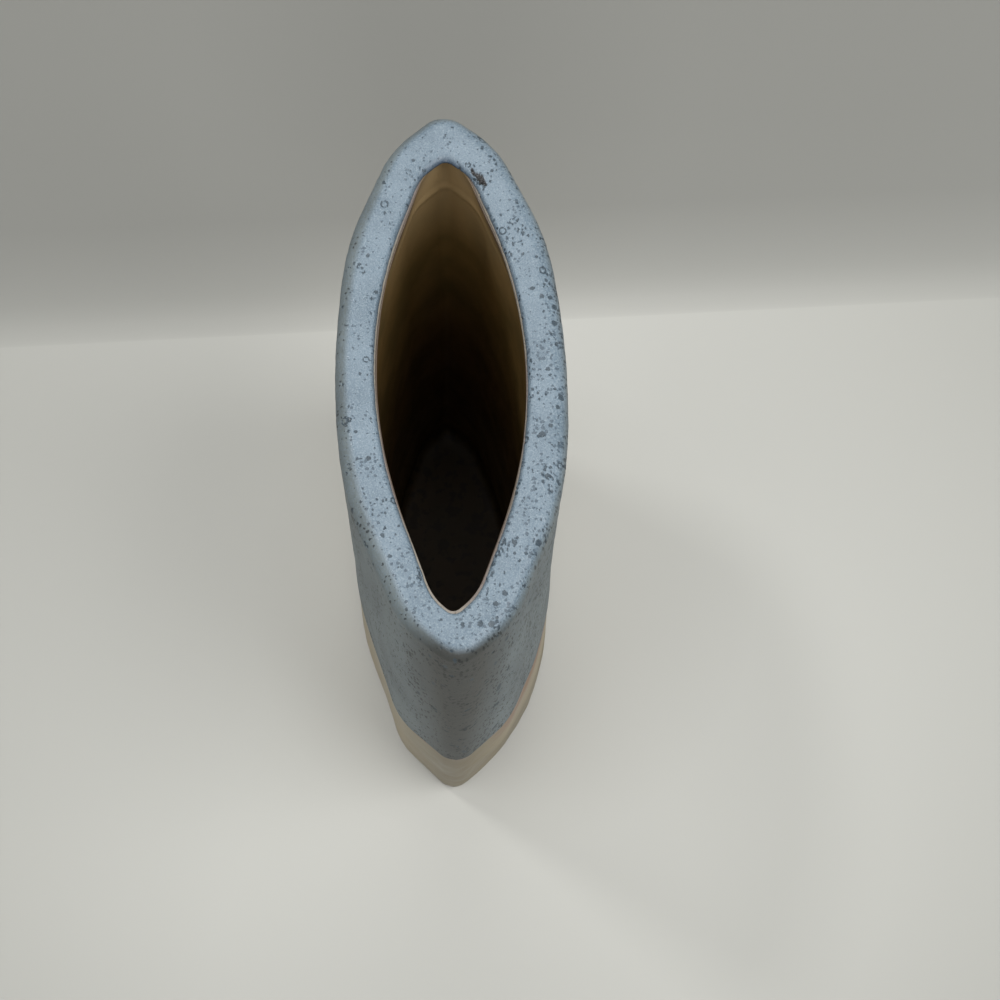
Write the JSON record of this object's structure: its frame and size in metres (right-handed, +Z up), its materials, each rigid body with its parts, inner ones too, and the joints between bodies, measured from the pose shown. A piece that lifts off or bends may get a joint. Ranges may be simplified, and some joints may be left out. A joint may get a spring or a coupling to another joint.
{
  "type": "pillow vase",
  "caption": "Tall slab-built stoneware vase with an almond-shaped plan, a thick turned-in rim and a wide open mouth.",
  "frame": {"origin": "middle of the foot, on the surface that the vase stands on", "axes": "+Z up through the mouth, X along the almond from tip to tip, Y across the broad faces"},
  "size_m": [0.165, 0.071, 0.2148],
  "materials": {
    "stoneware": "bare fired clay, matte",
    "blue_glaze": "satin, pitted volcanic glaze",
    "sand_glaze": "satin",
    "liner_glaze": "glossy"
  },
  "bodies": {
    "root": {"floor_slab": "stoneware", "front_wall_slab": "stoneware", "back_wall_slab": "stoneware", "rim_band": "stoneware", "sand_glaze": "sand_glaze", "blue_glaze": "blue_glaze", "liner_glaze": "liner_glaze"}
  },
  "joints": []
}
